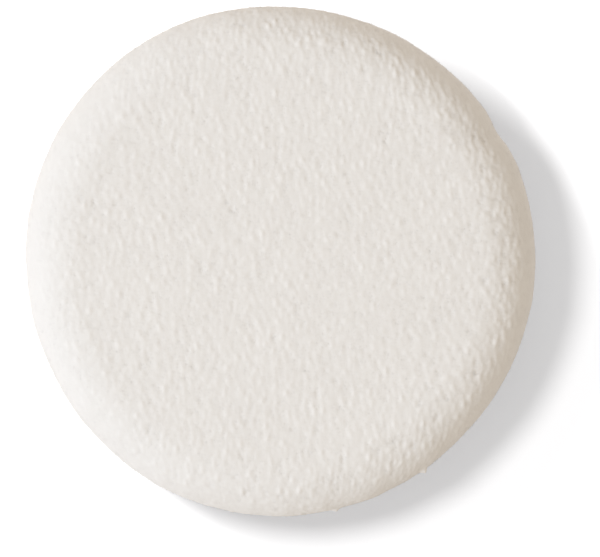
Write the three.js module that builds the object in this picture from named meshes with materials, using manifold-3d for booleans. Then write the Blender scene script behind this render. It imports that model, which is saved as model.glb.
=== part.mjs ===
// A round powder puff. Two discs of velour are sewn together at the rim with a ribbon caught
// in the seam, turned right side out, filled with a foam disc and closed by hand.
//
// Millimetres, +Z up. The puff lies on its ribbon with the powder face up. The origin is on the
// surface that it lies on, under the middle of the pad, and +X runs along the ribbon.

import * as THREE from "three";
import { mergeVertices } from "three/addons/utils/BufferGeometryUtils.js";
import Module from "manifold-3d";

// Pad
const puffDiameter = 70; // across the widest line of the front cover
const frontHeight = 8.3; // middle of the powder face above the seam
const backHeight = 6.2; // middle of the back below the seam
const crownRise = 0.3; // middle of each face above its shoulder
const levelRadius = 12; // level middle of each face
const shoulderWidth = 7.5; // rounded edge of each face, in plan
const backInset = 1; // widest line of the back cover inside that of the front

// Velour
const clothThickness = 1.4; // knitted ground with its pile pressed
const seamAllowance = 4; // cloth turned in behind the seam
const seamDepth = 1.6; // seam line inside the widest line of the front cover
const seamGap = 0.3; // between the two turned-in edges
const rollRise = 0.4; // widest line beyond the inner side of the turned-in edge

// Ribbon
const ribbonWidth = 16;
const ribbonThickness = 0.5;
const fingerGap = 5; // between the back and the slack ribbon
const bellyLength = 24; // flat middle of the ribbon
const ribbonBend = 0.8; // middle radius of its bend out of the seam
const ribbonEndInset = 0.5; // ends short of the turned-in cloth's raw edge

// Thread
const threadDiameter = 0.3;
const stitchLength = 3; // machine seam
const stitchLift = 0.15; // a stitch stands proud between its two holes
const closingLength = 20; // hand-sewn part of the rim
const closingStitch = 2.5; // from one hand stitch to the next
const closingClearOfRibbon = 3; // from the ribbon's edge to the first hand stitch

const pieceGap = 0.3; // soft pieces that touch keep this apart

// Facets
const roundSegments = 56; // round the rim
const crownPoints = 2;
const shoulderPoints = 5;
const rollPoints = 3;
const bendPoints = 4;
const ribbonPoints = 12; // along each slack side of the ribbon
const ribbonStrips = 6; // across the ribbon
const stepsPerStitch = 4; // machine seam
const closingSteps = 8; // hand seam
const threadSides = 4;
const weldDistance = 1e-4; // points nearer than this are one point

// What follows from those sizes. Levels are measured from the seam, towards the face of a cover.
const frontRadius = puffDiameter / 2;
const backRadius = frontRadius - backInset;
const seamRadius = frontRadius - seamDepth;
const rawEdgeRadius = seamRadius - seamAllowance;
const seamFace = seamGap / 2;
const allowanceLevel = seamFace + clothThickness;
const widestLevel = allowanceLevel + rollRise;
const threadLevel = allowanceLevel + pieceGap + threadDiameter / 2;
const coreLipLevel = threadLevel + stitchLift + threadDiameter / 2 + pieceGap;
const seamHeight = backHeight + fingerGap + ribbonThickness;
const ribbonReach = backRadius + pieceGap + ribbonThickness / 2;
const bellyLevel = -(backHeight + fingerGap + ribbonThickness / 2);
const closingRadius = backRadius + pieceGap + threadDiameter / 2;
const closingStart = Math.asin((ribbonWidth / 2 + closingClearOfRibbon) / closingRadius);
const closingEnd = closingStart + closingLength / closingRadius;

const wasm = await Module();
wasm.setup();

// A closed geometry as a solid that can be cut.
function solidOf(geometry) {
  const bare = geometry.clone();
  bare.deleteAttribute("normal");
  bare.deleteAttribute("uv");
  const merged = mergeVertices(bare, weldDistance);
  return new wasm.Manifold(
    new wasm.Mesh({
      numProp: 3,
      vertProperties: new Float32Array(merged.attributes.position.array),
      triVerts: new Uint32Array(merged.index.array),
    }),
  );
}

// A cut solid as a geometry again.
function geometryOf(solid) {
  const mesh = solid.getMesh();
  const geometry = new THREE.BufferGeometry();
  geometry.setAttribute("position", new THREE.BufferAttribute(mesh.vertProperties, 3));
  geometry.setIndex(new THREE.BufferAttribute(mesh.triVerts, 1));
  geometry.computeVertexNormals();
  return geometry;
}

function cut(geometry, tool) {
  return geometryOf(solidOf(geometry).subtract(solidOf(tool)));
}

// Turns a profile of (radius, level) points about Z. The profile runs from the lowest point on
// the axis, out and up, to the highest one.
function revolve(profile) {
  return new THREE.LatheGeometry(profile, roundSegments).rotateX(Math.PI / 2);
}

// A dome seen from the side: a face that is level in the middle and falls slightly outwards, then
// an elliptical shoulder that ends upright on the widest line. Points run from the axis to the
// widest line, or down to stopLevel.
function dome(radius, height, stopLevel = widestLevel) {
  const shoulderStart = radius - shoulderWidth;
  const crown = (r) => crownRise * (1 - (Math.max(0, r - levelRadius) / (radius - levelRadius)) ** 2);
  const shoulderHeight = height - crownRise - widestLevel;
  const levelAt = (r) => {
    const across = Math.max(0, (r - shoulderStart) / shoulderWidth);
    return widestLevel + crown(r) + shoulderHeight * Math.sqrt(Math.max(0, 1 - across ** 2));
  };
  const stopRadius = radiusAtLevel(levelAt, shoulderStart, radius, stopLevel);
  const stopAngle = Math.asin((stopRadius - shoulderStart) / shoulderWidth);
  const points = [0];
  for (let i = 0; i < crownPoints; i++) {
    points.push(levelRadius + ((shoulderStart - levelRadius) * i) / crownPoints);
  }
  for (let i = 0; i <= shoulderPoints; i++) {
    points.push(shoulderStart + shoulderWidth * Math.sin((stopAngle * i) / shoulderPoints));
  }
  return points.map((r) => new THREE.Vector2(r, levelAt(r)));
}

// The radius between two others at which a falling curve reaches a level.
function radiusAtLevel(levelAt, inner, outer, level) {
  const halvings = 40;
  for (let i = 0; i < halvings; i++) {
    const middle = (inner + outer) / 2;
    if (levelAt(middle) > level) inner = middle;
    else outer = middle;
  }
  return outer;
}

// A velour cover with its edge rolled in to the seam and turned in behind it.
function coverGeometry(radius, height) {
  const rollWidth = radius - seamRadius;
  const rollHeight = widestLevel - seamFace;
  const outside = dome(radius, height).reverse();
  const inside = dome(radius - clothThickness, height - clothThickness);
  const roll = [];
  for (let i = 0; i < rollPoints; i++) {
    const turn = (Math.PI / 2) * (1 - i / rollPoints);
    roll.push(
      new THREE.Vector2(
        seamRadius + rollWidth * Math.cos(turn),
        widestLevel - rollHeight * Math.sin(turn),
      ),
    );
  }
  return revolve([
    ...inside,
    new THREE.Vector2(radius - clothThickness, allowanceLevel),
    new THREE.Vector2(rawEdgeRadius, allowanceLevel),
    new THREE.Vector2(rawEdgeRadius, seamFace),
    ...roll,
    ...outside,
  ]);
}

// The foam disc: it fills both covers and gives way round the turned-in cloth at its rim.
function coreGeometry() {
  const skin = clothThickness + pieceGap;
  const front = dome(frontRadius - skin, frontHeight - skin, coreLipLevel).reverse();
  const back = dome(backRadius - skin, backHeight - skin, coreLipLevel);
  const grooveRadius = rawEdgeRadius - pieceGap;
  return revolve([
    ...back.map((point) => new THREE.Vector2(point.x, -point.y)),
    new THREE.Vector2(grooveRadius, -coreLipLevel),
    new THREE.Vector2(grooveRadius, coreLipLevel),
    ...front,
  ]);
}

// Half of the ribbon's middle line in the XZ plane, from its end inside the seam, round the rim
// of the back cover and down to the end of its flat belly.
function ribbonLine() {
  const sideDepth = -ribbonBend - bellyLevel;
  const sideReach = ribbonReach - bellyLength / 2;
  const line = [new THREE.Vector2(rawEdgeRadius + ribbonEndInset, 0)];
  for (let i = 0; i < bendPoints; i++) {
    const turn = (Math.PI / 2) * (i / bendPoints);
    line.push(
      new THREE.Vector2(
        ribbonReach - ribbonBend * (1 - Math.sin(turn)),
        -ribbonBend * (1 - Math.cos(turn)),
      ),
    );
  }
  const side = new THREE.CubicBezierCurve(
    new THREE.Vector2(ribbonReach, -ribbonBend),
    new THREE.Vector2(ribbonReach, -ribbonBend - sideDepth / 2),
    new THREE.Vector2(ribbonReach - sideReach / 2, bellyLevel),
    new THREE.Vector2(bellyLength / 2, bellyLevel),
  );
  line.push(...side.getPoints(ribbonPoints));
  return line;
}

// Draws a straight band in with the round rim: in full beside the seam, and not at all at the
// belly, where the ribbon hangs straight.
function followRim(geometry) {
  const position = geometry.attributes.position;
  for (let i = 0; i < position.count; i++) {
    const x = position.getX(i);
    const depth = THREE.MathUtils.clamp(position.getZ(i) / bellyLevel, 0, 1);
    const sagitta = ribbonReach - Math.sqrt(ribbonReach ** 2 - position.getY(i) ** 2);
    position.setX(i, x - Math.sign(x) * sagitta * (1 - depth ** 2));
  }
  return geometry;
}

// A band that follows the ribbon's line from end to end, of any thickness and width.
// endMargin lengthens its two ends.
function bandGeometry(thickness, width, endMargin) {
  const half = ribbonLine();
  half[0].x -= endMargin;
  const line = [...half, ...half.map((point) => new THREE.Vector2(-point.x, point.y)).reverse()];
  const edge = (side) =>
    line.map((point, i) => {
      const before = line[Math.max(i - 1, 0)];
      const after = line[Math.min(i + 1, line.length - 1)];
      const along = after.clone().sub(before).normalize();
      const normal = new THREE.Vector2(-along.y, along.x);
      return point.clone().addScaledVector(normal, (side * thickness) / 2);
    });
  const outline = new THREE.Shape([...edge(1), ...edge(-1).reverse()]);
  const band = new THREE.ExtrudeGeometry(outline, {
    depth: width,
    steps: ribbonStrips,
    bevelEnabled: false,
  });
  return followRim(band.translate(0, 0, -width / 2).rotateX(Math.PI / 2));
}

// A thread along a line of points. An arc has two sides to each of its curve segments.
function threadGeometry(points) {
  const section = new THREE.Shape();
  section.absarc(0, 0, threadDiameter / 2, 0, 2 * Math.PI);
  return new THREE.ExtrudeGeometry(section, {
    steps: points.length - 1,
    extrudePath: new THREE.CatmullRomCurve3(points),
    curveSegments: threadSides / 2,
    bevelEnabled: false,
  });
}

function roundZ(radius, angle, level) {
  return new THREE.Vector3(radius * Math.cos(angle), radius * Math.sin(angle), level);
}

// One thread of the machine seam: it lies on the turned-in cloth from one end of the hand-sewn
// part round to the other, and stands a little proud between the needle holes. side is 1 for
// the thread on the front cover and -1 for the one on the back cover.
function seamThreadGeometry(side) {
  const radius = backRadius - clothThickness - pieceGap - threadDiameter;
  const sweep = 2 * Math.PI - (closingEnd - closingStart);
  const stitches = Math.round((sweep * radius) / stitchLength);
  const steps = stitches * stepsPerStitch;
  const points = [];
  for (let i = 0; i <= steps; i++) {
    const lift = (stitchLift * (1 - Math.cos((2 * Math.PI * i) / stepsPerStitch))) / 2;
    points.push(roundZ(radius, closingEnd + (sweep * i) / steps, side * (threadLevel + lift)));
  }
  return threadGeometry(points);
}

// The hand stitches that close the rim: a thread that climbs from one cover to the other and
// back, in the hollow beside the seam.
function closingThreadGeometry() {
  const across = Math.min(1, (closingRadius - seamRadius) / seamDepth);
  const frontLevel = widestLevel - (widestLevel - seamFace) * Math.sqrt(1 - across ** 2);
  const topLevel = frontLevel - pieceGap - threadDiameter / 2;
  const climb = (topLevel + widestLevel) / 2;
  const stitches = Math.round(closingLength / closingStitch);
  const steps = stitches * closingSteps;
  const points = [];
  for (let i = 0; i <= steps; i++) {
    const angle = closingStart + ((closingEnd - closingStart) * i) / steps;
    const swing = Math.cos((2 * Math.PI * i) / closingSteps);
    points.push(roundZ(closingRadius, angle, topLevel - climb * (1 + swing)));
  }
  return threadGeometry(points);
}

const velour = { color: 0xe9e4dc, roughness: 1, metalness: 0 };
const foam = { color: 0xf1e8cf, roughness: 0.95, metalness: 0 };
const satin = { color: 0xf3efe8, roughness: 0.35, metalness: 0 };
const thread = { color: 0xf0ece4, roughness: 0.7, metalness: 0 };

function piece(name, geometry, finish) {
  const mesh = new THREE.Mesh(geometry, new THREE.MeshStandardMaterial(finish));
  mesh.name = name;
  return mesh;
}

// The pile gives way round the ribbon's ends, so both covers are hollowed there.
const ribbonSeat = bandGeometry(ribbonThickness + 2 * pieceGap, ribbonWidth + 2 * pieceGap, pieceGap);
const frontShell = coverGeometry(frontRadius, frontHeight);
const backShell = coverGeometry(backRadius, backHeight).rotateX(Math.PI);

const pad = new THREE.Group();
pad.position.z = seamHeight;
pad.add(piece("front_cover", cut(frontShell, ribbonSeat), velour));
pad.add(piece("back_cover", cut(backShell, ribbonSeat), velour));
pad.add(piece("foam_core", coreGeometry(), foam));
pad.add(piece("finger_ribbon", bandGeometry(ribbonThickness, ribbonWidth, 0), satin));
pad.add(piece("seam_needle_thread", seamThreadGeometry(1), thread));
pad.add(piece("seam_bobbin_thread", seamThreadGeometry(-1), thread));
pad.add(piece("closing_thread", closingThreadGeometry(), thread));

const puff = new THREE.Group();
puff.add(pad);

export default puff;
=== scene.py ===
import bpy
import numpy as np
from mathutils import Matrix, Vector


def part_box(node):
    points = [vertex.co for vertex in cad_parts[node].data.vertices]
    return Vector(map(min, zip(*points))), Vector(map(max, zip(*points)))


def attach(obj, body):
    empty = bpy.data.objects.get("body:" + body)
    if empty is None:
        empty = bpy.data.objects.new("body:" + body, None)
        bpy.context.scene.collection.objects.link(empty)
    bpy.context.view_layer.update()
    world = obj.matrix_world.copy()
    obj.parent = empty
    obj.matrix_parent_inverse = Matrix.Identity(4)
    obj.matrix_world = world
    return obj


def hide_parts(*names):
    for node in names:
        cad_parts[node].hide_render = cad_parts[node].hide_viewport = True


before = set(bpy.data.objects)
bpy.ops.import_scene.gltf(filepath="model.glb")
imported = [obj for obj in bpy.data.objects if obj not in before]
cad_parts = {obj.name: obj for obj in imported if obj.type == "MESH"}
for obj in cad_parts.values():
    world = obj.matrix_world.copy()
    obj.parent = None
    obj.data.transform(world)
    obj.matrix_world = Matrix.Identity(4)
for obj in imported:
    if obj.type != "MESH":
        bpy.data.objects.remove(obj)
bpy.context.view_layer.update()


# Front cover
# A disc of off-white velour, a knit whose loops are sheared to a short dense pile. Its edge rolls over the
# rim of the filling and is turned in behind the seam that joins it to the back cover.

front_low, front_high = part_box("front_cover")
back_low, back_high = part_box("back_cover")
seam_level = (front_low.z + back_high.z) / 2
seam_face = (front_low.z - back_high.z) / 2
front_radius = (front_high.x - front_low.x) / 2
front_height = front_high.z - seam_level

cloth_thickness = 0.0014
rim_overhang = 0.0016
seam_allowance = 0.004
roll_clearance = 0.0004
seam_radius = front_radius - rim_overhang
raw_edge_radius = seam_radius - seam_allowance
widest_rise = seam_face + cloth_thickness + roll_clearance
crown_rise = 0.0003
level_radius = 0.012
shoulder_width = 0.0075
profile_steps = 1200
inner_shares = np.array([0.97, 0.93, 0.88, 0.8, 0.7, 0.4, 0.1])

# Layers of the pile: pitch across and along the knit, a tuft's width and length, its scatter and its lean off
# the nap, and its mean height with the range of heights.
knit_turn = np.radians(28.5)
nap_turn = np.radians(4.5)
knit_pitch = (0.00121, 0.00141)
tuft_layer = (knit_pitch, (0.00026, 0.00033), (0.85, 0.5), (0.1, 2.6))
lock_layer = ((0.00068, 0.00068), (0.0002, 0.0002), (0.9, 0.5), (0.1, 2.6))
clump_layer = ((0.0031, 0.0035), (0.0008, 0.0011), (0.9, 0.5), (0.1, 2.6))
rib_layer = (knit_pitch, (0.00022, 0.00055), (0.45, 0.25), (1.0, 0.8))
tuft_height = 0.000068
lock_share = 0.4
clump_share = 0.45
rib_mean = 0.45
pile_sink = 0.00001
pile_end_share = 0.04
# Painted shade and light of the pile: its middle lightness, and the range from painted shade in the gaps to
# painted light on the heads.
tone_middle, painted_shade_range = 0.55, 0.28

# Where the pile opens, lies close on the wall, shows its ribs and is stroked flat. Lengths are measured from
# the start of the shoulder, and angles are radians round from the right.
opening_at, opening_width = 0.0035, 0.0028
opening_all_round, opening_on_right, opening_angle = 0.2, 0.25, 0.3
wall_at, wall_run = 0.005, 0.002
wall_flat, wall_flat_at_sides = 0.35, 0.25
rib_least, rib_rise, rib_swing, rib_angle = 0.45, 0.35, 0.4, 1.05
stroke_at, stroke_run = 0.0008, 0.0042
stroke_left, stroke_spread, stroke_flat = 0.2, 0.6, 0.4

# Stray tufts: degrees round the rim, length along the section from the middle, and height. Each is
# painted fully light, a painted highlight.
stray_tufts = ((-55.6, 0.0372, 0.0006), (-77.3, 0.0379, 0.0004))
stray_width = 0.00032

# Loose ends of the pile: how near the seam they grow, the way they are brushed, how far they stand and lie,
# their least sizes with the ranges over them, the cover's share and their own in their shading, and their
# painted tones, a painted shade at the foot and a painted highlight at the tip.
nap_reach = 0.985
nap_brush, nap_scatter = np.array([0.0, -0.85, 0]), 0.35
nap_stand, nap_lie = 0.45, 0.75
nap_length, nap_length_range = 0.00020, 0.00025
nap_thickness, nap_thickness_range = 0.000012, 0.000010
nap_sink = 0.00010
nap_soft, nap_round = 0.8, 0.45
nap_shaded_foot, nap_lit_tip = 0.3, 0.8

# The rim's own outline. Each dip has its middle and its reach in degrees and the rise of the widest line.
corner_angle = np.radians(13.6)
corner_rise = 0.00018
oval_angle = np.radians(135)
oval_rise = 0.00008
dent_angle = np.radians(30.4)
dent_depth = 0.0005
dent_length = 0.0016
outline_power = 10
rim_dips = ((60, 20, -0.0005), (320, 18, -0.00035), (112, 14, 0.0003))
dip_start, dip_run = 0.78, 0.1
dip_end, dip_end_run = 0.935, 0.03

# Creases of the wall. Starts, runs and ends here and at the stitches are shares of the section's length.
crease_rings, crease_spokes, crease_frames = 36, 220, 16
crease_start = 0.6
crease_depth = 0.0004
crease_swell = 0.0002
crease_scale = 20.0
crease_waves = np.arange(9, 60)
crease_slant = 6
crease_unevenness = 0.00001
crease_fade_start, crease_fade_run = 0.7, 0.2
crease_at_widest, crease_widest_run = 0.12, 0.03

stitch_length = 0.003
stitch_draw = 0.00025
stitch_share, stitch_spread = 0.972, 0.012
shut_start, shut_run, shut_share = 0.93, 0.07, 0.7
ribbon_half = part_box("finger_ribbon")[1].y
ribbon_ease = 0.003


def cover_profile(radius, height):
    """Section of a cover from its middle to the seam: radius, rise over the seam and the outward normal in
    the section, at even steps of length, then that length and the radius where the shoulder starts. The face
    is level in the middle, then falls with the square of the way out. The shoulder is a quarter of an
    ellipse, and so is the roll under the widest line."""
    turn = np.linspace(0, np.pi / 2, 240)
    face = np.linspace(0, radius - shoulder_width, 400, endpoint=False)
    r = np.append(face, radius - shoulder_width * (1 - np.sin(turn)))
    way_out = np.clip(r - level_radius, 0, None) / (radius - level_radius)
    over_edge = np.clip(r - radius + shoulder_width, 0, None) / shoulder_width
    shoulder = (height - crown_rise - widest_rise) * np.sqrt(1 - over_edge**2)
    z = widest_rise + crown_rise * (1 - way_out**2) + shoulder
    r = np.append(r, seam_radius + (radius - seam_radius) * np.cos(turn[1:]))
    z = np.append(z, widest_rise - (widest_rise - seam_face) * np.sin(turn[1:]))
    run = np.append(0, np.cumsum(np.hypot(np.diff(r), np.diff(z))))
    even = np.linspace(0, run[-1], profile_steps)
    r, z = np.interp(even, run, r), np.interp(even, run, z)
    slope_r, slope_z = np.gradient(r), np.gradient(z)
    long = np.hypot(slope_r, slope_z)
    return r, z, -slope_z / long, slope_r / long, run[-1], radius - shoulder_width


def rim_shift(angle):
    """How far the rim stands off a true circle: a faint oval, three faint corners, and a bell-shaped dent
    where the covers were closed by hand."""
    off_dent = np.angle(np.exp(1j * (angle - dent_angle))) * front_radius / dent_length
    oval = oval_rise * np.cos(2 * (angle - oval_angle))
    corners = corner_rise * np.cos(3 * (angle - corner_angle))
    return oval + corners - dent_depth * np.exp(-(off_dent**2) / 2)


def rim_drop(angle):
    """How far the front cover's widest line rises or falls: a bell round the rim for each dip."""
    drop = np.zeros_like(angle)
    for at, reach, rise in rim_dips:
        off_dip = np.angle(np.exp(1j * (angle - np.radians(at)))) / np.radians(reach)
        drop = drop + rise * np.exp(-(off_dip**2) / 2)
    return drop


def new_piece(name, points, faces, finish):
    """A smooth mesh object with that finish. faces is a list of arrays, each of faces with one count of
    corners."""
    mesh = bpy.data.meshes.new(name)
    corners = np.concatenate([f.ravel() for f in faces])
    counts = np.concatenate([np.full(len(f), f.shape[1]) for f in faces])
    mesh.vertices.add(len(points))
    mesh.vertices.foreach_set("co", np.ascontiguousarray(points, np.float32).ravel())
    mesh.loops.add(len(corners))
    mesh.polygons.add(len(counts))
    mesh.polygons.foreach_set("loop_start", np.append(0, np.cumsum(counts)[:-1]).astype(np.int32))
    mesh.polygons.foreach_set("vertices", corners.astype(np.int32))
    mesh.update(calc_edges=True)
    mesh.validate()
    mesh.shade_smooth()
    mesh.materials.append(finish)
    piece = bpy.data.objects.new(name, mesh)
    bpy.context.scene.collection.objects.link(piece)
    return piece


def strip_faces(near, far):
    """Four-sided faces between two closed rings of point numbers."""
    return np.stack([np.roll(near, -1), near, far, np.roll(far, -1)], -1)


def fan_faces(ring, middle, turned=False):
    """Three-sided faces from a closed ring of point numbers to one point. turned faces them the other way."""
    near, far = (np.roll(ring, -1), ring) if turned else (ring, np.roll(ring, -1))
    return np.stack([near, far, np.full(len(ring), middle)], -1)


def round_axis(radius, angle, level):
    """Points at those distances from Z, angles round it and heights."""
    return np.stack(np.broadcast_arrays(radius * np.cos(angle), radius * np.sin(angle), level), -1)


def ramp(value, start, run):
    """0 up to start, then rising evenly to 1 over the run, and 1 from there on."""
    return np.clip((value - start) / run, 0, 1)


def crease_field(profile, seed):
    """Creases of a cover's wall by cloth simulation: shifts outward and away from the seam, on rings from
    crease_start to the seam by spokes. Half of the pad, enlarged, is closed by two fans, held at the face and
    at the seam and blown up from inside, so that the wall is drawn in and creases. The mean of each ring is
    taken off again, the creases fade out over the shoulder, and no point moves past crease_swell or
    crease_depth."""
    share = np.linspace(crease_start, 1, crease_rings)[:, None]
    angle = np.arange(crease_spokes) * 2 * np.pi / crease_spokes
    steps = np.linspace(0, 1, profile_steps)
    r, z = np.interp(share, steps, profile[0]), np.interp(share, steps, profile[1])
    chance = np.random.default_rng(seed)
    waves = crease_waves[:, None, None]
    slants = crease_slant * chance.normal(size=waves.shape)
    uneven = np.cos(waves * angle + slants * share + 2 * np.pi * chance.random(waves.shape)).sum(0)
    uneven *= crease_unevenness * np.sin(np.pi * (share - crease_start) / (1 - crease_start))

    rings = round_axis(r + uneven, angle, z)
    middles = np.array([[0, 0, z[0, 0]], [0, 0, z[-1, 0]]])
    number = np.arange(crease_rings * crease_spokes).reshape(crease_rings, crease_spokes)
    walls = [strip_faces(near, far)[:, ::-1] for near, far in zip(number, number[1:])]
    first, last, count = number[0], number[-1], number.size
    fans = [fan_faces(first, count), fan_faces(last, count + 1, turned=True)]
    points = crease_scale * np.concatenate([rings.reshape(-1, 3), middles])
    shell = new_piece("crease_shell", points, walls + fans, None)
    held = shell.vertex_groups.new(name="held")
    held.add(np.concatenate([number[:2].ravel(), last, [count, count + 1]]).tolist(), 1, "REPLACE")
    cloth = shell.modifiers.new("cloth", "CLOTH")
    cloth.settings.vertex_group_mass = "held"
    cloth.settings.mass = 0.02
    cloth.settings.bending_stiffness = 0.5
    cloth.settings.use_pressure = True
    cloth.settings.uniform_pressure_force = 4
    cloth.settings.effector_weights.gravity = 0
    cloth.collision_settings.use_collision = False
    for step in range(1, crease_frames + 1):
        bpy.context.scene.frame_set(step)
    blown = shell.evaluated_get(bpy.context.evaluated_depsgraph_get()).data
    at = np.zeros(len(points) * 3, np.float32)
    blown.vertices.foreach_get("co", at)
    bpy.context.scene.frame_set(1)
    flat = shell.data
    bpy.data.objects.remove(shell)
    bpy.data.meshes.remove(flat)

    at = at.reshape(-1, 3)[:count].reshape(crease_rings, crease_spokes, 3) / crease_scale
    out = at[..., 0] * np.cos(angle) + at[..., 1] * np.sin(angle)
    shift = np.stack([out, at[..., 2]])
    shift -= shift.mean(-1, keepdims=True)
    past_widest = ramp(share, steps[np.argmax(profile[0])], crease_widest_run)
    fade = ramp(share, crease_fade_start, crease_fade_run)
    fade = fade * (crease_at_widest + (1 - crease_at_widest) * past_widest)
    return np.clip(shift * fade, -crease_depth, crease_swell)


def crease_shift(creases, share, angle):
    """Reads a field of creases between its rings and spokes, with cubic B-spline weights on the sixteen
    nearest points."""
    at_ring = ramp(share, crease_start, 1 - crease_start) * (crease_rings - 1)
    at_spoke = angle / (2 * np.pi) % 1 * crease_spokes
    ring, spoke = np.floor(at_ring).astype(int), np.floor(at_spoke).astype(int)

    def spread(t):
        return (1 - t) ** 3 / 6, (3 * t**3 - 6 * t**2 + 4) / 6, (3 * (t + t**2 - t**3) + 1) / 6, t**3 / 6

    shift = np.zeros((2, *np.shape(share)))
    for i, part in enumerate(spread(at_ring - ring)):
        for j, portion in enumerate(spread(at_spoke - spoke)):
            near = np.clip(ring + i - 1, 0, crease_rings - 1), (spoke + j - 1) % crease_spokes
            shift += creases[:, near[0], near[1]] * part * portion
    return shift


def cover_points(profile, side, creases, share, angle):
    """Points of a cover's smooth outer surface and their normals. share runs from 0 at the middle to 1 at the
    seam along the section, angle goes round, and side is 1 for the front and -1 for the back. Towards the
    rim the cover follows the rim's own outline, its wall has the creases, and the front's widest line rises
    and falls. Each stitch draws the roll in, and the covers lie close at the seam but for the ribbon's
    ends."""
    steps = np.linspace(0, 1, profile_steps)
    r, z, normal_r, normal_z = (np.interp(share, steps, line) for line in profile[:4])
    shift = crease_shift(creases, share, angle)
    stitch = np.cos(angle * front_radius / stitch_length * 2 * np.pi) * 0.5 + 0.5
    drawn = stitch_draw * stitch * np.exp(-(((share - stitch_share) / stitch_spread) ** 2))
    off_ribbon = abs(np.sin(angle)) * front_radius - ribbon_half
    shut = ramp(off_ribbon, 0, ribbon_ease) * ramp(share, shut_start, shut_run) ** 2
    to_rim = ramp(share, dip_start, dip_run)
    lowered = to_rim**2 * (3 - 2 * to_rim) * (1 - ramp(share, dip_end, dip_end_run)) * rim_drop(angle)
    r = r + shift[0] - drawn + rim_shift(angle) * (r / front_radius) ** outline_power
    z = z + shift[1] - shut_share * seam_face * shut + (side > 0) * lowered
    points = round_axis(r, angle, seam_level + side * z)
    return points, round_axis(normal_r, angle, side * normal_z)


def strands(x, y, pitch, size, scatter, heights, seed, strength):
    """Sum of bells drawn out along the brushed nap, one to each cell of the knit's lattice, which is turned
    on the cover. size gives their width and length, scatter how far each is moved off the middle of its cell
    and leans off the nap, and heights their mean height and its range, below zero for a gap. strength gives
    what share stands at the distance and angle of a bell's middle. The nine nearest cells count."""
    (pitch_x, pitch_y), (wide, long), (jitter, sway), (level, spread) = pitch, size, scatter, heights
    cells = 200
    chance = np.random.default_rng(seed).random((4, cells, cells))
    turn = np.array([[np.cos(knit_turn), np.sin(knit_turn)], [-np.sin(knit_turn), np.cos(knit_turn)]])
    across, up = turn[0, 0] * x + turn[0, 1] * y, turn[1, 0] * x + turn[1, 1] * y
    column, row = np.floor(across / pitch_x).astype(int), np.floor(up / pitch_y).astype(int)
    height = np.zeros_like(x)
    for i in (-1, 0, 1):
        for j in (-1, 0, 1):
            cell = (column + i + cells // 2, row + j + cells // 2)
            middle_across = (column + i + 0.5 + jitter * (chance[0][cell] - 0.5)) * pitch_x
            middle_up = (row + j + 0.5 + jitter * (chance[1][cell] - 0.5)) * pitch_y
            middle_x = turn[0, 0] * middle_across + turn[1, 0] * middle_up
            middle_y = turn[0, 1] * middle_across + turn[1, 1] * middle_up
            lean = nap_turn + sway * (chance[3][cell] - 0.5)
            beside = (x - middle_x) * np.cos(lean) + (y - middle_y) * np.sin(lean)
            along = (y - middle_y) * np.cos(lean) - (x - middle_x) * np.sin(lean)
            bell = np.exp(-((beside / wide) ** 2 + (along / long) ** 2) / 2)
            stands = strength(np.hypot(middle_x, middle_y), np.arctan2(middle_y, middle_x))
            height += (level + spread * (chance[2][cell] - 0.5)) * bell * stands
    return height


def pile_height(profile, strays, share, angle, seed):
    """Height of the sheared pile over the cover's smooth surface, and how light it is painted, from 0 in the
    gaps, a painted shade, to 1 on the heads, painted light. Tufts stand on the knit's lattice, with finer
    locks among them, and lie in uneven clumps. The ribs of the knit show through them, most towards the top
    right. The shoulder opens the pile, most on the right. It lies closer on the wall, most at the two sides,
    where the nap runs along the rim, and it is stroked flat on the left, where its painted shade is weaker
    too. Stray tufts stand out on the wall and are painted fully light, a painted highlight. The pile dies out
    at the seam."""
    length, face_radius = profile[4:]

    def standing(out, round_rim):
        past_face = out - face_radius
        opened = np.exp(-(((past_face - opening_at) / opening_width) ** 2))
        to_right = (1 + np.cos(round_rim - opening_angle)) / 2
        raised = 1 + (opening_all_round + opening_on_right * to_right) * opened
        flat = wall_flat + wall_flat_at_sides * np.cos(round_rim) ** 2
        return raised * (1 - ramp(past_face, wall_at, wall_run) * flat)

    def ribbed(out, round_rim):
        to_top = 1 - rib_swing + rib_swing * np.cos(round_rim - rib_angle)
        return standing(out, round_rim) * (rib_least + rib_rise * to_top * (out / front_radius) ** 2)

    out = share * length
    x, y = out * np.cos(angle), out * np.sin(angle)
    tufts = strands(x, y, *tuft_layer, seed, standing)
    locks = strands(x, y, *lock_layer, seed + 1, standing)
    clumps = strands(x, y, *clump_layer, seed + 2, standing)
    ribs = strands(x, y, *rib_layer, seed + 3, ribbed) - rib_mean * ribbed(out, angle)
    heads = tufts + lock_share * locks + ribs
    on_left = ramp(-np.cos(angle), stroke_left, stroke_spread)
    stroked = 1 - stroke_flat * on_left * ramp(out - face_radius, stroke_at, stroke_run)
    kept = ramp(1 - share, 0, pile_end_share) * stroked
    pile = (tuft_height * (heads + clump_share * clumps) - pile_sink) * kept
    # Painted shade in the gaps and painted light on the heads, less where the pile is stroked flat.
    painted_shade_and_tone = np.clip(tone_middle + painted_shade_range * heads * stroked, 0, 1)
    # Each stray tuft is painted fully light, a painted highlight.
    for at, way_out, rise in strays:
        beside = np.angle(np.exp(1j * (angle - np.radians(at)))) * front_radius
        bell = np.exp(-((beside / stray_width) ** 2 + ((out - way_out) / stray_width) ** 2) / 2)
        pile = pile + rise * bell
        painted_shade_and_tone = np.maximum(painted_shade_and_tone, bell)
    return pile, painted_shade_and_tone


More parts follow.
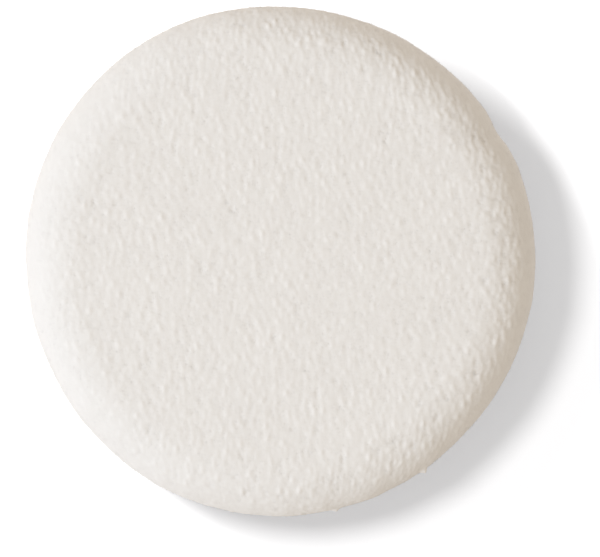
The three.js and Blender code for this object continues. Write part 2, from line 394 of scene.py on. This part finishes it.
def disc_grid(n):
    """Share and angle of an n by n grid pressed into a disc, so that each square ring becomes a circle."""
    u, v = np.meshgrid(np.linspace(-1, 1, n), np.linspace(-1, 1, n))
    share = np.maximum(abs(u), abs(v))
    wide = abs(u) > abs(v)
    ratio = np.where(wide, v / u, u / v) * np.pi / 4
    x = np.where(wide, u * np.cos(ratio), v * np.sin(ratio))
    y = np.where(wide, u * np.sin(ratio), v * np.cos(ratio))
    return share, np.arctan2(y, x)


def pile_painted_shade(piece, painted_shade_and_tone):
    """Keeps how light each point of the pile is painted, from 0 in the gaps, painted shade, to 1 on the heads
    of the tufts, painted light, as an attribute that the velour's colour reads."""
    tone = piece.data.attributes.new("pile", "FLOAT", "POINT")
    tone.data.foreach_set("value", painted_shade_and_tone.astype(np.float32))


def cover_piece(name, profile, side, creases, strays, n, seed, finish):
    """A cover as a closed piece of cloth: the pile side on a pressed grid, then rings along the turned-in
    edge and the plain inner side, and a fan to the middle."""
    share, angle = disc_grid(n)
    points, normals = cover_points(profile, side, creases, share, angle)
    pile, painted_shade_and_tone = pile_height(profile, strays, share, angle, seed)
    points = points + normals * pile[..., None]
    number = np.arange(n * n).reshape(n, n)
    outside = np.stack([number[:-1, :-1], number[:-1, 1:], number[1:, 1:], number[1:, :-1]], -1)
    edge = np.concatenate([number[0, :-1], number[:-1, -1], number[-1, :0:-1], number[:0:-1, 0]])
    inset = (inner_shares * (profile_steps - 1)).astype(int)
    inner_r = profile[0][inset] - cloth_thickness * profile[2][inset]
    inner_z = profile[1][inset] - cloth_thickness * profile[3][inset]
    inner_r = np.append([raw_edge_radius, raw_edge_radius], inner_r)
    inner_z = np.append([seam_face, seam_face + cloth_thickness], inner_z)
    rings = round_axis(inner_r[:, None], angle.ravel()[edge], seam_level + side * inner_z[:, None])
    middle = np.array([[0, 0, seam_level + side * inner_z[-1]]])
    points = np.concatenate([points.reshape(-1, 3), rings.reshape(-1, 3), middle])
    lines = [edge] + [n * n + i * len(edge) + np.arange(len(edge)) for i in range(len(inner_r))]
    inside = [strip_faces(near, far) for near, far in zip(lines, lines[1:])]
    fan = fan_faces(lines[-1], len(points) - 1, turned=True)
    faces = [outside.reshape(-1, 4), *inside, fan]
    piece = new_piece(name, points, [f[:, ::side] for f in faces], finish)
    pile_painted_shade(piece, np.append(painted_shade_and_tone.ravel(), np.zeros(len(points) - n * n)))
    return piece


def nap_piece(name, profile, side, creases, count, seed, finish):
    """Loose ends of the pile: slim spikes with a closed three-sided foot just under the tufts. They stand
    off the surface, lean the way that the pile was brushed and scatter about it."""
    chance = np.random.default_rng(seed)
    share = np.sqrt(chance.random(count)) * nap_reach
    angle = chance.random(count) * 2 * np.pi
    feet, normals = cover_points(profile, side, creases, share, angle)
    brushed = nap_brush + nap_scatter * chance.normal(size=(count, 3))
    brushed -= normals * np.sum(normals * brushed, -1, keepdims=True)
    lean = nap_stand * normals + nap_lie * brushed
    lean /= np.linalg.norm(lean, axis=-1, keepdims=True)
    length = (nap_length + nap_length_range * chance.random(count))[:, None]
    thickness = (nap_thickness + nap_thickness_range * chance.random(count))[:, None, None]
    feet = feet - nap_sink * normals
    beside = np.cross(lean, chance.normal(size=(count, 3)))
    beside /= np.linalg.norm(beside, axis=-1, keepdims=True)
    turn = np.arange(3)[None, :, None] * 2 * np.pi / 3
    ring = np.cos(turn) * beside[:, None] + np.sin(turn) * np.cross(lean, beside)[:, None]
    points = np.concatenate([feet[:, None] + thickness * ring, (feet + length * lean)[:, None]], 1)
    spike = np.array([[0, 1, 3], [1, 2, 3], [2, 0, 3], [2, 1, 0]])
    faces = (spike[None] + 4 * np.arange(count)[:, None, None]).reshape(-1, 3)
    piece = new_piece(name, points.reshape(-1, 3), [faces], finish)
    soft = nap_soft * normals[:, None] + nap_round * np.concatenate([ring, lean[:, None]], 1)
    soft /= np.linalg.norm(soft, axis=-1, keepdims=True)
    piece.data.normals_split_custom_set_from_vertices(soft.reshape(-1, 3))
    # Painted shade at each spike's foot and painted light at its tip.
    pile_painted_shade(piece, np.tile([nap_shaded_foot] * 3 + [nap_lit_tip], count))
    return piece


class Wire:
    """An output of a shader node. + and * with wires or numbers, and a number less a wire, add Math nodes.
    mix() blends two colours by it, noise() and bump() take it as place and as height, node() adds any other
    node to the same tree, and to() joins it to a socket."""

    def __init__(self, output):
        self.output = output

    def node(self, kind, sockets, out=0, **settings):
        made = self.output.id_data.nodes.new(kind)
        for name, value in settings.items():
            setattr(made, name, value)
        for name, value in sockets.items():
            if isinstance(value, Wire):
                value.to(made.inputs[name])
            else:
                made.inputs[name].default_value = value
        return Wire(made.outputs[out])

    def to(self, socket):
        self.output.id_data.links.new(self.output, socket)

    def math(self, operation, first, second):
        return self.node("ShaderNodeMath", {0: first, 1: second}, operation=operation)

    def mix(self, first, second):
        return self.node("ShaderNodeMix", {0: self, 6: first, 7: second}, out=2, data_type="RGBA")

    def noise(self, scale, detail):
        return self.node("ShaderNodeTexNoise", {"Vector": self, "Scale": scale, "Detail": detail})

    def bump(self, strength, distance):
        return self.node("ShaderNodeBump", {"Height": self, "Strength": strength, "Distance": distance})

    def __add__(self, other):
        return self.math("ADD", self, other)

    def __mul__(self, other):
        return self.math("MULTIPLY", self, other)

    def __rsub__(self, other):
        return self.math("SUBTRACT", other, self)


def new_finish(name, constants):
    """A material with those constants on its Principled shader. Gives the material, the shader's sockets and
    the piece's own coordinates."""
    finish = bpy.data.materials.new(name)
    finish.use_nodes = True
    nodes = finish.node_tree.nodes
    shader = nodes["Principled BSDF"].inputs
    for socket, value in constants.items():
        shader[socket].default_value = value
    return finish, shader, nodes.new("ShaderNodeTexCoord")


velour, shader, place = new_finish(
    "velour",
    {
        "Roughness": 0.95,
        "Specular IOR Level": 0.1,
        "Sheen Weight": 0.25,
        "Sheen Roughness": 0.6,
        "Sheen Tint": (1.0, 0.97, 0.92, 1),
    },
)
# The velour's colour: painted shade in the gaps and painted light on the heads of the tufts, read from the
# pile attribute, mixed with random patches and fibres of tone.
velour_shaded_gaps, velour_lit_heads = (0.74, 0.695, 0.65, 1), (0.86, 0.815, 0.77, 1)
where = Wire(place.outputs["Object"])
patches = where.noise(scale=110, detail=3)
fibres = where.noise(scale=7000, detail=2)
heads = where.node("ShaderNodeAttribute", {}, out="Fac", attribute_name="pile")
painted_shade_and_tone = patches * 0.25 + fibres * 0.25 + heads * 0.5
painted_shade_and_tone.mix(velour_shaded_gaps, velour_lit_heads).to(shader["Base Color"])
fibres.bump(strength=0.35, distance=0.00006).to(shader["Normal"])

front_profile = cover_profile(front_radius, front_height)
front_creases = crease_field(front_profile, seed=13)
front_cover = cover_piece(
    "velour_front", front_profile, 1, front_creases, stray_tufts, n=520, seed=11, finish=velour
)
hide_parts("front_cover")
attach(front_cover, "root")

front_nap = nap_piece(
    "velour_front_nap", front_profile, 1, front_creases, count=44000, seed=12, finish=velour
)
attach(front_nap, "root")


# Back cover
# A second disc of the same velour, a little smaller, so that the seam sits under the rim. It is sewn to the
# front cover right sides together and turned out.

back_radius = (back_high.x - back_low.x) / 2
back_height = seam_level - back_low.z
back_profile = cover_profile(back_radius, back_height)
back_creases = crease_field(back_profile, seed=23)
back_cover = cover_piece("velour_back", back_profile, -1, back_creases, (), n=380, seed=21, finish=velour)
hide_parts("back_cover")
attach(back_cover, "root")

back_nap = nap_piece("velour_back_nap", back_profile, -1, back_creases, count=30000, seed=22, finish=velour)
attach(back_nap, "root")


# Finger ribbon
# A double-faced satin ribbon across the back. Its ends are caught between the turned-in edges of the covers,
# and it hangs slack so that two fingers go under it.

ribbon_low, ribbon_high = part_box("finger_ribbon")
ribbon_width = ribbon_high.y - ribbon_low.y
ribbon_thickness = 0.0005
ribbon_reach = ribbon_high.x - ribbon_thickness / 2
ribbon_tail = 0.0005
belly_level = ribbon_low.z + ribbon_thickness / 2
belly_length = 0.024
ribbon_bend = 0.0008
ground_share = 0.72
selvedge_inset, selvedge_width = 0.0007, 0.0003
edge_power = 24
pucker_depth, pucker_waves = 0.00012, 3.5
pucker_from_end, pucker_reach = 0.0075, 0.005


def ribbon_line(count):
    """Middle line of the ribbon in the XZ plane at even steps, and its length: straight out of the seam, a
    quarter turn over the rim, a cubic curve down to the flat belly, and the same again on the other side."""
    turn = np.linspace(0, np.pi / 2, 30)
    t = np.linspace(0, 1, 200)[:, None]
    handle = (seam_level - ribbon_bend - belly_level) / 2
    reach = (ribbon_reach - belly_length / 2) / 2
    top = np.array([ribbon_reach, seam_level - ribbon_bend])
    end = np.array([belly_length / 2, belly_level])
    after_top, before_end = top - [0, handle], end + [reach, 0]
    side = (
        top * (1 - t) ** 3
        + after_top * 3 * t * (1 - t) ** 2
        + before_end * 3 * t**2 * (1 - t)
        + end * t**3
    )
    bend_x = ribbon_reach - ribbon_bend * (1 - np.sin(turn))
    bend_z = seam_level - ribbon_bend * (1 - np.cos(turn))
    x = np.concatenate([[raw_edge_radius + ribbon_tail], bend_x, side[1:, 0]])
    z = np.concatenate([[seam_level], bend_z, side[1:, 1]])
    x, z = np.append(x, -x[::-1]), np.append(z, z[::-1])
    run = np.append(0, np.cumsum(np.hypot(np.diff(x), np.diff(z))))
    even = np.linspace(0, run[-1], count)
    return np.interp(even, run, x), np.interp(even, run, z), run[-1]


def ribbon_piece(name, finish):
    """The ribbon as a closed band: a flat section with thicker selvedges carried along its line. Its ends are
    drawn in to the round of the rim, it puckers a little where the seam holds it, and its belly lies flat."""
    steps, strips = 420, 61
    x, z, length = ribbon_line(steps)
    along = np.linspace(0, length, steps)[:, None]
    tangent_x, tangent_z = np.gradient(x), np.gradient(z)
    long = np.hypot(tangent_x, tangent_z)
    normal_x, normal_z = -tangent_z / long, tangent_x / long
    across = np.sin(np.linspace(-np.pi / 2, np.pi / 2, strips)) * ribbon_width / 2
    edge = np.sqrt(np.clip(1 - (abs(across) / (ribbon_width / 2)) ** edge_power, 0, 1))
    selvedge = np.exp(-(((abs(across) - ribbon_width / 2 + selvedge_inset) / selvedge_width) ** 2))
    half = ribbon_thickness / 2 * (ground_share + (1 - ground_share) * selvedge) * edge
    section_y = np.append(across, across[-2:0:-1])
    section_n = np.append(half, -half[-2:0:-1])
    from_end = np.minimum(along, length - along)
    held = np.exp(-(((from_end - pucker_from_end) / pucker_reach) ** 2))
    waves = section_y[None] / ribbon_width * 2 * np.pi * pucker_waves + np.sign(along - length / 2)
    lift = section_n[None] + pucker_depth * held * np.sin(waves)
    points_x = x[:, None] + normal_x[:, None] * lift
    points_z = z[:, None] + normal_z[:, None] * lift
    depth = np.clip((seam_level - z) / (seam_level - belly_level), 0, 1)[:, None]
    sagitta = ribbon_reach - np.sqrt(ribbon_reach**2 - section_y[None] ** 2)
    points_x = points_x - np.sign(points_x) * sagitta * (1 - depth**2)
    points_y = np.broadcast_to(section_y[None], points_x.shape)
    points = np.stack([points_x, points_y, points_z], -1)
    loop = len(section_y)
    number = np.arange(steps * loop).reshape(steps, loop)
    rows = [strip_faces(near, far) for near, far in zip(number, number[1:])]
    top, under = np.arange(strips), np.append(0, np.arange(loop - 1, strips - 2, -1))
    cap = np.stack([top[1:-1], top[2:], under[2:], under[1:-1]], -1)[:-1]
    tip = np.array([[0, 1, under[1]], [strips - 2, strips - 1, under[strips - 2]]])
    ends = [cap, tip, number[-1][cap[:, ::-1]], number[-1][tip[:, ::-1]]]
    piece = new_piece(name, points.reshape(-1, 3), rows + ends, finish)
    flat = np.stack(np.broadcast_arrays(along, section_y[None]), -1).reshape(-1, 2)
    corner = np.zeros(len(piece.data.loops), np.int32)
    piece.data.loops.foreach_get("vertex_index", corner)
    cut = piece.data.uv_layers.new(name="cut")
    cut.data.foreach_set("uv", flat[corner].astype(np.float32).ravel())
    return piece, length


satin, shader, place = new_finish(
    "satin",
    {
        "Specular IOR Level": 0.45,
        "Anisotropic": 0.6,
        "Sheen Weight": 0.15,
        "Sheen Roughness": 0.4,
    },
)
satin_dark, satin_light = (0.80, 0.765, 0.71, 1), (0.90, 0.875, 0.83, 1)
cut = Wire(place.outputs["UV"])
narrow = cut.node("ShaderNodeMapping", {"Vector": cut, "Scale": (300, 9000, 1)})
broad = cut.node("ShaderNodeMapping", {"Vector": cut, "Scale": (30, 900, 1)})
floats = narrow.noise(scale=1, detail=3)
slubs = broad.noise(scale=1, detail=2)
(floats * 0.6 + slubs * 0.4).mix(satin_dark, satin_light).to(shader["Base Color"])
(slubs * 0.25 + 0.24).to(shader["Roughness"])
(floats + slubs).bump(strength=0.3, distance=0.00004).to(shader["Normal"])

ribbon, ribbon_length = ribbon_piece("satin_ribbon", satin)
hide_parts("finger_ribbon")
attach(ribbon, "root")


# Machine seam
# Two polyester threads locked together through both turned-in edges, with the ribbon's ends between them.
# The upper one lies inside the front cover and the lower one inside the back.

thread_diameter = 0.0003
thread_clearance = 0.0003
thread_sides = 10
ply_lay = 4.5 * thread_diameter
ply_groove = 0.16
ribbon_clearance = 0.003
hand_length = 0.020
hand_radius = back_radius + thread_clearance + thread_diameter / 2
hand_start = np.arcsin((ribbon_width / 2 + ribbon_clearance) / hand_radius)
hand_end = hand_start + hand_length / hand_radius


def thread_piece(name, radius, angle, level, finish):
    """Two plies twisted together and carried along a path round the rim: the section is a circle drawn in at
    two sides, and it turns with the length. The ends are closed by a fan."""
    path = round_axis(radius, angle, level)
    run = np.append(0, np.cumsum(np.linalg.norm(np.diff(path, axis=0), axis=-1)))
    tangent = np.gradient(path, axis=0)
    tangent /= np.linalg.norm(tangent, axis=-1, keepdims=True)
    beside = np.cross(tangent, round_axis(1, angle, 0))
    beside /= np.linalg.norm(beside, axis=-1, keepdims=True)
    over = np.cross(beside, tangent)
    turn = np.arange(thread_sides) * 2 * np.pi / thread_sides
    ply = turn[None] - run[:, None] * 2 * np.pi / ply_lay
    thick = thread_diameter / 2 * (1 - ply_groove + ply_groove * np.cos(2 * ply))
    section = np.cos(turn)[None, :, None] * over[:, None] + np.sin(turn)[None, :, None] * beside[:, None]
    points = (path[:, None] + thick[..., None] * section).reshape(-1, 3)
    count = len(points)
    number = np.arange(count).reshape(-1, thread_sides)
    faces = [strip_faces(near, far)[:, ::-1] for near, far in zip(number, number[1:])]
    fans = [fan_faces(number[0], count, turned=True), fan_faces(number[-1], count + 1)]
    return new_piece(name, np.concatenate([points, path[:1], path[-1:]]), faces + fans, finish)


polyester, shader, place = new_finish(
    "thread",
    {"Specular IOR Level": 0.4, "Sheen Weight": 0.2, "Sheen Roughness": 0.5},
)
thread_dark, thread_light = (0.76, 0.72, 0.65, 1), (0.90, 0.87, 0.82, 1)
filaments = Wire(place.outputs["Object"]).noise(scale=16000, detail=2)
filaments.mix(thread_dark, thread_light).to(shader["Base Color"])
(filaments * 0.3 + 0.4).to(shader["Roughness"])
filaments.bump(strength=0.3, distance=0.00003).to(shader["Normal"])

seam_steps = 16
seam_lift = 0.00015
seam_sweep = 2 * np.pi - hand_length / hand_radius
seam_thread_radius = back_radius - cloth_thickness - thread_clearance - thread_diameter
seam_stitches = round(seam_sweep * seam_thread_radius / stitch_length)
seam_angle = hand_end + np.linspace(0, seam_sweep, seam_stitches * seam_steps + 1)
seam_wave = np.cos((seam_angle - hand_end) / seam_sweep * 2 * np.pi * seam_stitches)
seam_rise = seam_lift * (1 - seam_wave) / 2
thread_rise = seam_face + cloth_thickness + thread_clearance + thread_diameter / 2 + seam_rise
for node, side in (("seam_needle_thread", 1), ("seam_bobbin_thread", -1)):
    name = node.replace("seam", "sewn")
    thread = thread_piece(name, seam_thread_radius, seam_angle, seam_level + side * thread_rise, polyester)
    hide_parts(node)
    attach(thread, "root")


# Foam core
# A die-cut disc of soft open-cell foam, pushed in through the gap in the seam. It fills both covers, and a
# groove round its edge makes room for the turned-in cloth.

foam_gap = 0.0003
foam_columns = 220
foam_thinning = 12
cell_depth = 0.00012
lip_rise = thread_rise.max() + thread_diameter / 2 + foam_gap


def foam_piece(name, seed, finish):
    """The section of the core turned about Z: both covers' sections set in by the cloth and a gap, and the
    groove between them. Small seeded bumps make the cut cells."""
    half = []
    inset = cloth_thickness + foam_gap
    for profile in (front_profile, back_profile):
        r, z = profile[0] - inset * profile[2], profile[1] - inset * profile[3]
        keep = (z > lip_rise) & (np.arange(len(z)) > 0)
        half.append((r[keep][::foam_thinning], z[keep][::foam_thinning]))
    groove = raw_edge_radius - foam_gap
    (front_r, front_z), (back_r, back_z) = half
    r = np.concatenate([back_r, [groove, groove], front_r[::-1]])
    z = np.concatenate([-back_z, [-lip_rise, lip_rise], front_z[::-1]])
    angle = np.arange(foam_columns) * 2 * np.pi / foam_columns
    cells = cell_depth * np.random.default_rng(seed).random((len(r), foam_columns))
    points = round_axis(r[:, None] - cells, angle, seam_level + z[:, None])
    poles = np.array([[0, 0, seam_level + z[0]], [0, 0, seam_level + z[-1]]])
    number = np.arange(len(r) * foam_columns).reshape(len(r), foam_columns)
    faces = [strip_faces(near, far)[:, ::-1] for near, far in zip(number, number[1:])]
    fans = [fan_faces(number[0], number.size, turned=True), fan_faces(number[-1], number.size + 1)]
    return new_piece(name, np.concatenate([points.reshape(-1, 3), poles]), faces + fans, finish)


foam, shader, place = new_finish(
    "foam",
    {
        "Roughness": 0.9,
        "Specular IOR Level": 0.2,
        "Subsurface Weight": 0.4,
        "Subsurface Radius": (1.0, 0.8, 0.5),
        "Subsurface Scale": 0.0006,
    },
)
foam_shaded_hollows, foam_light = (0.62, 0.54, 0.36, 1), (0.89, 0.82, 0.64, 1)
where = Wire(place.outputs["Object"])
cells = where.node("ShaderNodeTexVoronoi", {"Vector": where, "Scale": 1800})
# Painted shade: each foam cell is darker in its hollow, where its bump is lowest.
cells.mix(foam_shaded_hollows, foam_light).to(shader["Base Color"])
cells.bump(strength=0.6, distance=0.00025).to(shader["Normal"])

foam_core = foam_piece("foam_disc", seed=31, finish=foam)
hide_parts("foam_core")
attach(foam_core, "root")


# Hand-sewn closing
# The gap that the core went in by is closed from outside with a single thread, in small stitches that pass
# from the front cover's roll to the back cover's.

hand_stitch_length = 0.0025
hand_steps = 48
hand_stitches = round(hand_length / hand_stitch_length)
roll_share = min(1, (hand_radius - seam_radius) / (front_radius - seam_radius))
roll_rise = widest_rise - (widest_rise - seam_face) * np.sqrt(1 - roll_share**2)
hand_top = roll_rise - thread_clearance - thread_diameter / 2
hand_climb = (hand_top + widest_rise) / 2
hand_angle = np.linspace(hand_start, hand_end, hand_stitches * hand_steps + 1)
hand_swing = np.cos((hand_angle - hand_start) / (hand_end - hand_start) * 2 * np.pi * hand_stitches)
hand_path = hand_radius + rim_shift(hand_angle) * (hand_radius / front_radius) ** outline_power
hand_level = seam_level + hand_top - hand_climb * (1 + hand_swing)
closing = thread_piece("hand_stitches", hand_path, hand_angle, hand_level, polyester)
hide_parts("closing_thread")
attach(closing, "root")


# Floor and light
# A white table in a warm, evenly lit room. A broad lamp on the left lights the puff alone, and two smaller
# lamps light the table alone, so that the shadow falls on it to the right. Where the puff hides the table,
# it lets the room's light through to the back.

scene = bpy.context.scene
scene.view_settings.view_transform = "Standard"

room = bpy.data.worlds.new("room")
scene.world = room
room.use_nodes = True
sky = room.node_tree.nodes["Background"]


def seen_rays(tree):
    """1 for rays that carry a picture: from the camera, or mirrored or sent through by what it sees."""
    path = tree.nodes.new("ShaderNodeLightPath").outputs
    kinds = ("Camera", "Glossy", "Transmission")
    straight, glossy, through = (Wire(path[f"Is {kind} Ray"]) for kind in kinds)
    return straight.math("MAXIMUM", straight, straight.math("MAXIMUM", glossy, through))


room_light, room_seen = (0.684, 0.636, 0.564, 1), (1, 1, 1, 1)
seen_rays(room.node_tree).mix(room_light, room_seen).to(sky.inputs["Color"])

table_bounce, table_seen = (0.49, 0.50, 0.54, 1), (0.67, 0.71, 0.80, 1)
no_glow, table_glow = (0, 0, 0, 1), (0.226, 0.226, 0.226, 1)
table, shader, place = new_finish(
    "table",
    {"Roughness": 0.9, "Specular IOR Level": 0.1, "Emission Strength": 1},
)
ray = seen_rays(table.node_tree)
ray.mix(table_bounce, table_seen).to(shader["Base Color"])
ray.mix(no_glow, table_glow).to(shader["Emission Color"])
where = Wire(place.outputs["Object"])
out_from_puff = where.node("ShaderNodeVectorMath", {0: where}, out="Value", operation="LENGTH")
fade_start, fade_end = 0.065, 0.12
faded = where.node(
    "ShaderNodeMapRange",
    {"Value": out_from_puff, "From Min": fade_start, "From Max": fade_end},
    interpolation_type="SMOOTHSTEP",
)
under = Wire(table.node_tree.nodes.new("ShaderNodeNewGeometry").outputs["Backfacing"])
window_start, window_end = 0.018, 0.028
hidden = where.node(
    "ShaderNodeMapRange",
    {"Value": out_from_puff, "From Min": window_start, "From Max": window_end, "To Min": 1.0, "To Max": 0.0},
    interpolation_type="SMOOTHSTEP",
)
# What is seen passes the table where it fades out or is seen from under, and light passes it under the puff.
clear = ray * (1 - (1 - faded) * (1 - under)) + (1 - ray) * hidden
(1 - clear).to(shader["Alpha"])
half_table = 4.0
corners = half_table * np.array([[-1, -1, 0], [1, -1, 0], [1, 1, 0], [-1, 1, 0]])
floor = new_piece("table", corners, [np.array([[0, 1, 2, 3]])], table)


def new_lamp(name, azimuth, elevation, distance, size, energy, color):
    """A round lamp at that distance from the middle of the puff, turned to face it. Azimuth goes round from
    +X, in degrees."""
    lamp = bpy.data.objects.new(name, bpy.data.lights.new(name, "AREA"))
    lamp.data.shape = "DISK"
    lamp.data.size, lamp.data.energy, lamp.data.color = size, energy, color
    a, e = np.radians(azimuth), np.radians(elevation)
    lamp.location = distance * np.array([np.cos(e) * np.cos(a), np.cos(e) * np.sin(a), np.sin(e)])
    lamp.rotation_euler = (np.pi / 2 - e, 0, a + np.pi / 2)
    scene.collection.objects.link(lamp)
    return lamp


def light_link(lamp, state, item):
    """Keeps a lamp's light to that object alone with INCLUDE, or off it with EXCLUDE."""
    lit = bpy.data.collections.new(lamp.name + "_lit")
    lit.objects.link(item)
    lit.collection_objects[0].light_linking.link_state = state
    lamp.light_linking.receiver_collection = lit


cool, warm = (0.842, 1.0, 1.21), (1.19, 1.12, 1.0)
key = new_lamp("key", azimuth=190, elevation=43, distance=1.0, size=0.44, energy=5.5, color=cool)
high = new_lamp("high", azimuth=167, elevation=73.3, distance=0.2, size=0.0468, energy=0.237, color=warm)
side = new_lamp("side", azimuth=142.8, elevation=47.1, distance=0.335, size=0.104, energy=0.87, color=warm)
light_link(key, "EXCLUDE", floor)
light_link(high, "INCLUDE", floor)
light_link(side, "INCLUDE", floor)


# Camera
# Straight over the puff with a long lens. The photograph's middle is right of and below the puff's.

camera = bpy.data.objects.new("camera", bpy.data.cameras.new("camera"))
camera.data.lens = 200
camera.data.sensor_width = 36
picture_width, picture_height = 600, 557
pixels_to_rim = 254.8
puff_across, puff_down = 279.7, 260.1
pixel = front_radius / pixels_to_rim
distance = camera.data.lens / camera.data.sensor_width * picture_width * pixel
camera.location = (
    (picture_width / 2 - puff_across) * pixel,
    (puff_down - picture_height / 2) * pixel,
    seam_level + widest_rise + distance,
)
camera.data.clip_start, camera.data.clip_end = 0.01, 20
scene.collection.objects.link(camera)
scene.camera = camera
